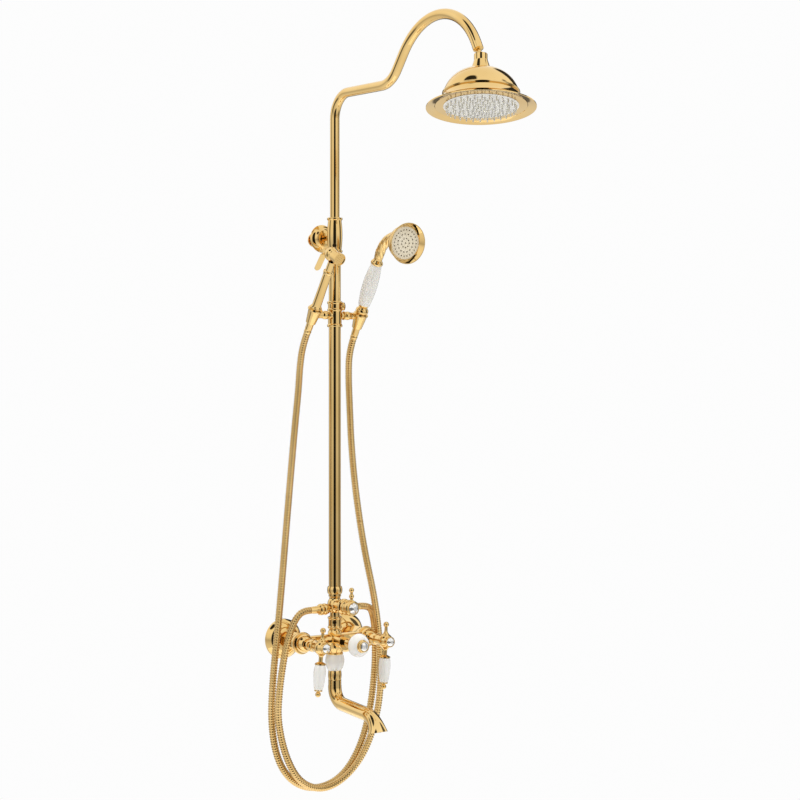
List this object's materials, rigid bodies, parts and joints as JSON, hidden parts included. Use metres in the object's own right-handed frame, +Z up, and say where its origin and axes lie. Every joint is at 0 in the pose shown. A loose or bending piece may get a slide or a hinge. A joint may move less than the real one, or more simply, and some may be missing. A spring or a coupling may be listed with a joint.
{
  "type": "rainfall shower column",
  "caption": "Wall-mounted shower column: lever-handle mixer with swivel spout, riser, swan-neck arm with rain head, and a slider holding a hand shower and a bidet sprayer on hoses.",
  "frame": {"origin": "On the finished wall plane, midway between the two supply inlets.", "axes": "+X is right as one faces the wall, +Y goes into the wall, +Z is up."},
  "size_m": [0.2614, 0.677, 1.4945],
  "materials": {
    "gold": "polished yellow gold plating over brass",
    "ceramic": "warm white glazed ceramic",
    "crystal": "clear cut crystal",
    "face": "cream moulded spray face",
    "silicone": "pale translucent silicone nozzles",
    "hose": "gold metallised flexible hose with fine ribs",
    "seal": "black rubber",
    "screw_steel": "dark steel grub screws"
  },
  "bodies": {
    "root": {"wall_flanges": "gold", "inlet_unions": "gold", "union_nuts": "gold", "seals": "seal", "mixer_body": "gold", "valve_headworks": "gold", "diverter_body": "gold", "neck_sleeve": "gold", "grub_screws": "screw_steel", "riser_nut": "gold", "riser_tube": "gold", "riser_collar": "gold", "bracket_stud": "gold", "hose_outlet_nuts": "gold", "spout_ceramic_ring": "ceramic", "spout_nut": "gold", "hand_hose_a": "hose", "bidet_hose_a": "hose"},
    "hot_handle": {"hot_hub": "gold", "hot_spindle": "gold", "hot_grip": "ceramic", "hot_crystal": "crystal"},
    "cold_handle": {"cold_hub": "gold", "cold_spindle": "gold", "cold_grip": "ceramic", "cold_crystal": "crystal"},
    "selector_knob": {"knob_core": "gold", "knob_ceramic": "ceramic", "knob_bezel": "gold", "knob_crystal": "crystal"},
    "diverter_handle": {"diverter_hub": "gold", "diverter_crystal": "crystal"},
    "swivel_spout": {"spout": "gold"},
    "arm_slide": {"arm_bush": "gold"},
    "arm": {"shower_arm": "gold", "arm_ball": "gold"},
    "head_ring": {"swivel_ring": "seal"},
    "rain_head": {"head_swivel": "gold", "head_shell": "gold", "head_plate": "gold", "head_nozzles": "silicone"},
    "slider": {"slider_sleeve": "gold", "hand_hose_b": "hose", "bidet_hose_b": "hose"},
    "slider_lock": {"lock_knob": "gold"},
    "hand_cup": {"right_cup": "gold", "hand_hose_c": "hose"},
    "bidet_cup": {"left_cup": "gold", "bidet_hose_c": "hose"},
    "hand_shower": {"hand_hose_nut": "gold", "hand_connector": "gold", "hand_grip": "ceramic", "hand_neck": "gold", "hand_head": "gold", "hand_face": "face"},
    "bidet_sprayer": {"bidet_hose_nut": "gold", "bidet_tube": "gold", "bidet_head": "gold"},
    "sprayer_trigger": {"bidet_trigger": "gold"},
    "escutcheon": {"bracket_escutcheon": "gold"}
  },
  "joints": [
    {"name": "hot_turn", "type": "hinge", "parent": "root", "child": "hot_handle", "pos_m": [-0.075, 0, 0], "axis": [0, 1, 0], "range_deg": [-5.4, 84.6]},
    {"name": "cold_turn", "type": "hinge", "parent": "root", "child": "cold_handle", "pos_m": [0.075, 0, 0], "axis": [0, 1, 0], "range_deg": [-90, 0]},
    {"name": "selector_turn", "type": "hinge", "parent": "root", "child": "selector_knob", "pos_m": [0, 0, 0], "axis": [0, 1, 0], "range_deg": [-90, 90]},
    {"name": "diverter_turn", "type": "hinge", "parent": "root", "child": "diverter_handle", "pos_m": [0, 0, 0.07], "axis": [0, 1, 0], "range_deg": [-90, 90]},
    {"name": "spout_swing", "type": "hinge", "parent": "root", "child": "swivel_spout", "pos_m": [0, -0.08, -0.075], "axis": [0, 0, 1], "range_deg": [-60, 60]},
    {"name": "arm_lift", "type": "slide", "parent": "root", "child": "arm_slide", "axis": [0, 0, 1], "range_m": [-0.1, 0.15]},
    {"name": "arm_swing", "type": "hinge", "parent": "arm_slide", "child": "arm", "pos_m": [0, -0.08, 0.57], "axis": [0, 0, 1], "range_deg": [-90, 90]},
    {"name": "head_tip", "type": "hinge", "parent": "arm", "child": "head_ring", "pos_m": [0, -0.55487, 1.08435], "axis": [1, 0, 0], "range_deg": [-15, 15]},
    {"name": "head_roll", "type": "hinge", "parent": "head_ring", "child": "rain_head", "pos_m": [0, -0.55487, 1.08435], "axis": [0, 1, 0], "range_deg": [-15, 15]},
    {"name": "slider_lift", "type": "slide", "parent": "root", "child": "slider", "axis": [0, 0, 1], "range_m": [-0.25, 0.09], "deforming": ["hand_hose_a", "bidet_hose_a"]},
    {"name": "lock_turn", "type": "hinge", "parent": "slider", "child": "slider_lock", "pos_m": [0, -0.08, 0.667], "axis": [0.7071, -0.7071, 0], "range_deg": [0, 180]},
    {"name": "hand_cup_tilt", "type": "hinge", "parent": "slider", "child": "hand_cup", "pos_m": [0.0535, -0.085, 0.649], "axis": [1, 0, 0], "range_deg": [-20, 10], "deforming": ["hand_hose_b"]},
    {"name": "bidet_cup_tilt", "type": "hinge", "parent": "slider", "child": "bidet_cup", "pos_m": [-0.0535, -0.085, 0.649], "axis": [1, 0, 0], "range_deg": [-20, 10], "deforming": ["bidet_hose_b"]},
    {"name": "hand_lift", "type": "slide", "parent": "hand_cup", "child": "hand_shower", "axis": [0, -0.5, 0.866], "range_m": [0, 0.05], "deforming": ["hand_hose_c"]},
    {"name": "bidet_lift", "type": "slide", "parent": "bidet_cup", "child": "bidet_sprayer", "axis": [0, -0.5592, 0.829], "range_m": [0, 0.05], "deforming": ["bidet_hose_c"]},
    {"name": "trigger_press", "type": "hinge", "parent": "bidet_sprayer", "child": "sprayer_trigger", "pos_m": [-0.0535, -0.135, 0.772], "axis": [1, 0, 0], "range_deg": [-10, 0], "stiffness_Nm_per_rad": 0.2, "springref_deg": 6.88},
    {"name": "escutcheon_slide", "type": "slide", "parent": "root", "child": "escutcheon", "axis": [0, 1, 0], "range_m": [0, 0.032]}
  ]
}
